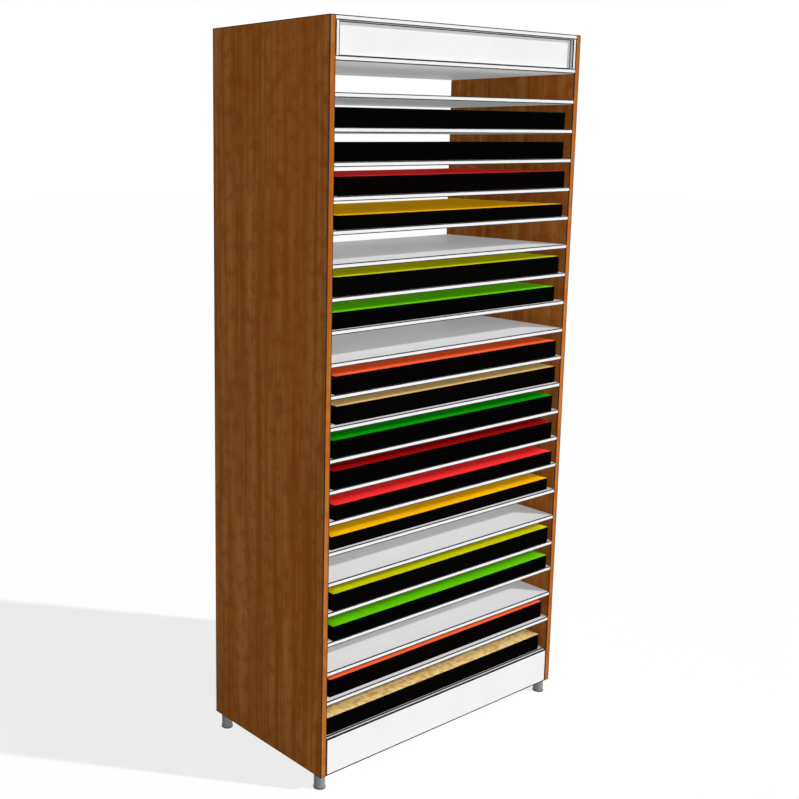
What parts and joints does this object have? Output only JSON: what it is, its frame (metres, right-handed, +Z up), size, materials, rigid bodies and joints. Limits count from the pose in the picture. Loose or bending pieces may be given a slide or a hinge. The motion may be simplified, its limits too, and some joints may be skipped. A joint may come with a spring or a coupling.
{
  "type": "paper display rack",
  "caption": "Tall open-backed rack with timber side panels, closely spaced white shelves holding piles of coloured paper, a header box with a recessed sign panel, and levelling feet.",
  "frame": {"origin": "on the floor, in the middle of the rack's footprint", "axes": "+Z up, -Y to the open front with the sign panel, +X to the right seen from the front"},
  "size_m": [0.921, 0.456, 1.94],
  "materials": {
    "side_wood": "satin, warm brown with an upright grain",
    "white_board": "satin white faced board",
    "plinth_timber": "bare planed softwood",
    "plate_steel": "zinc plated",
    "foot_metal": "satin grey",
    "glide_black": "matt black",
    "sheet_edges": "near-black cut edges of stacked sheets",
    "leaf_green": "matt",
    "dark_red": "matt",
    "red": "matt",
    "amber": "matt",
    "olive_yellow": "matt",
    "lime_green": "matt",
    "orange": "matt",
    "tan": "matt, fibrous",
    "cork_tan": "matt, speckled like thin cork"
  },
  "bodies": {
    "carcass": {"left_side_panel": "side_wood", "right_side_panel": "side_wood", "top_board": "white_board", "header_base_board": "white_board", "header_left_stile": "white_board", "header_right_stile": "white_board", "sign_panel": "white_board", "shelf_01": "white_board", "shelf_02": "white_board", "shelf_03": "white_board", "shelf_04": "white_board", "shelf_05": "white_board", "shelf_06": "white_board", "shelf_07": "white_board", "shelf_08": "white_board", "shelf_09": "white_board", "shelf_10": "white_board", "shelf_11": "white_board", "shelf_12": "white_board", "shelf_13": "white_board", "shelf_14": "white_board", "shelf_15": "white_board", "shelf_16": "white_board", "shelf_17": "white_board", "shelf_18": "white_board", "shelf_19": "white_board", "shelf_20": "white_board", "bottom_board": "white_board", "kick_panel": "white_board", "rear_plinth_rail": "white_board", "left_plinth_cleat": "plinth_timber", "right_plinth_cleat": "plinth_timber", "front_left_foot_plate": "plate_steel", "front_right_foot_plate": "plate_steel", "rear_left_foot_plate": "plate_steel", "rear_right_foot_plate": "plate_steel"},
    "front_left_glide": {"front_left_foot_glide": "glide_black"},
    "front_right_glide": {"front_right_foot_glide": "glide_black"},
    "rear_left_glide": {"rear_left_foot_glide": "glide_black"},
    "rear_right_glide": {"rear_right_foot_glide": "glide_black"},
    "front_left_post": {"front_left_foot_post": "foot_metal"},
    "front_right_post": {"front_right_foot_post": "foot_metal"},
    "rear_left_post": {"rear_left_foot_post": "foot_metal"},
    "rear_right_post": {"rear_right_foot_post": "foot_metal"},
    "pile_02": {"paper_pile_02": "leaf_green"},
    "pile_03": {"paper_pile_03": "dark_red"},
    "pile_04": {"paper_pile_04": "red"},
    "pile_05": {"paper_pile_05": "amber"},
    "pile_07": {"paper_pile_07": "olive_yellow"},
    "pile_08": {"paper_pile_08": "lime_green"},
    "pile_10": {"paper_pile_10": "orange"},
    "pile_11": {"paper_pile_11": "tan"},
    "pile_12": {"paper_pile_12": "leaf_green"},
    "pile_13": {"paper_pile_13": "dark_red"},
    "pile_14": {"paper_pile_14": "red"},
    "pile_15": {"paper_pile_15": "amber"},
    "pile_17": {"paper_pile_17": "olive_yellow"},
    "pile_18": {"paper_pile_18": "lime_green"},
    "pile_20": {"paper_pile_20": "orange"},
    "pile_21": {"paper_pile_21": "cork_tan"}
  },
  "joints": [
    {"name": "front_left_foot_travel", "type": "slide", "parent": "carcass", "child": "front_left_glide", "axis": [0, 0, -1], "range_m": [0, 0.012]},
    {"name": "front_right_foot_travel", "type": "slide", "parent": "carcass", "child": "front_right_glide", "axis": [0, 0, -1], "range_m": [0, 0.012]},
    {"name": "rear_left_foot_travel", "type": "slide", "parent": "carcass", "child": "rear_left_glide", "axis": [0, 0, -1], "range_m": [0, 0.012]},
    {"name": "rear_right_foot_travel", "type": "slide", "parent": "carcass", "child": "rear_right_glide", "axis": [0, 0, -1], "range_m": [0, 0.012]},
    {"name": "front_left_foot_turn", "type": "hinge", "parent": "front_left_glide", "child": "front_left_post", "pos_m": [-0.4435, -0.204, 0.02], "axis": [0, 0, -1], "range_deg": [0, 2880]},
    {"name": "front_right_foot_turn", "type": "hinge", "parent": "front_right_glide", "child": "front_right_post", "pos_m": [0.4435, -0.204, 0.02], "axis": [0, 0, -1], "range_deg": [0, 2880]},
    {"name": "rear_left_foot_turn", "type": "hinge", "parent": "rear_left_glide", "child": "rear_left_post", "pos_m": [-0.4435, 0.198, 0.02], "axis": [0, 0, -1], "range_deg": [0, 2880]},
    {"name": "rear_right_foot_turn", "type": "hinge", "parent": "rear_right_glide", "child": "rear_right_post", "pos_m": [0.4435, 0.198, 0.02], "axis": [0, 0, -1], "range_deg": [0, 2880]},
    {"name": "pile_02_draw", "type": "slide", "parent": "carcass", "child": "pile_02", "axis": [0, -1, 0], "range_m": [0, 0.18]},
    {"name": "pile_03_draw", "type": "slide", "parent": "carcass", "child": "pile_03", "axis": [0, -1, 0], "range_m": [0, 0.18]},
    {"name": "pile_04_draw", "type": "slide", "parent": "carcass", "child": "pile_04", "axis": [0, -1, 0], "range_m": [0, 0.18]},
    {"name": "pile_05_draw", "type": "slide", "parent": "carcass", "child": "pile_05", "axis": [0, -1, 0], "range_m": [0, 0.18]},
    {"name": "pile_07_draw", "type": "slide", "parent": "carcass", "child": "pile_07", "axis": [0, -1, 0], "range_m": [0, 0.18]},
    {"name": "pile_08_draw", "type": "slide", "parent": "carcass", "child": "pile_08", "axis": [0, -1, 0], "range_m": [0, 0.18]},
    {"name": "pile_10_draw", "type": "slide", "parent": "carcass", "child": "pile_10", "axis": [0, -1, 0], "range_m": [0, 0.18]},
    {"name": "pile_11_draw", "type": "slide", "parent": "carcass", "child": "pile_11", "axis": [0, -1, 0], "range_m": [0, 0.18]},
    {"name": "pile_12_draw", "type": "slide", "parent": "carcass", "child": "pile_12", "axis": [0, -1, 0], "range_m": [0, 0.18]},
    {"name": "pile_13_draw", "type": "slide", "parent": "carcass", "child": "pile_13", "axis": [0, -1, 0], "range_m": [0, 0.18]},
    {"name": "pile_14_draw", "type": "slide", "parent": "carcass", "child": "pile_14", "axis": [0, -1, 0], "range_m": [0, 0.18]},
    {"name": "pile_15_draw", "type": "slide", "parent": "carcass", "child": "pile_15", "axis": [0, -1, 0], "range_m": [0, 0.18]},
    {"name": "pile_17_draw", "type": "slide", "parent": "carcass", "child": "pile_17", "axis": [0, -1, 0], "range_m": [0, 0.18]},
    {"name": "pile_18_draw", "type": "slide", "parent": "carcass", "child": "pile_18", "axis": [0, -1, 0], "range_m": [0, 0.18]},
    {"name": "pile_20_draw", "type": "slide", "parent": "carcass", "child": "pile_20", "axis": [0, -1, 0], "range_m": [0, 0.18]},
    {"name": "pile_21_draw", "type": "slide", "parent": "carcass", "child": "pile_21", "axis": [0, -1, 0], "range_m": [0, 0.18]}
  ],
  "couplings": [
    {"joint": "front_left_foot_travel", "follows": "front_left_foot_turn", "m_per_rad": 0.00023873},
    {"joint": "front_right_foot_travel", "follows": "front_right_foot_turn", "m_per_rad": 0.00023873},
    {"joint": "rear_left_foot_travel", "follows": "rear_left_foot_turn", "m_per_rad": 0.00023873},
    {"joint": "rear_right_foot_travel", "follows": "rear_right_foot_turn", "m_per_rad": 0.00023873}
  ]
}
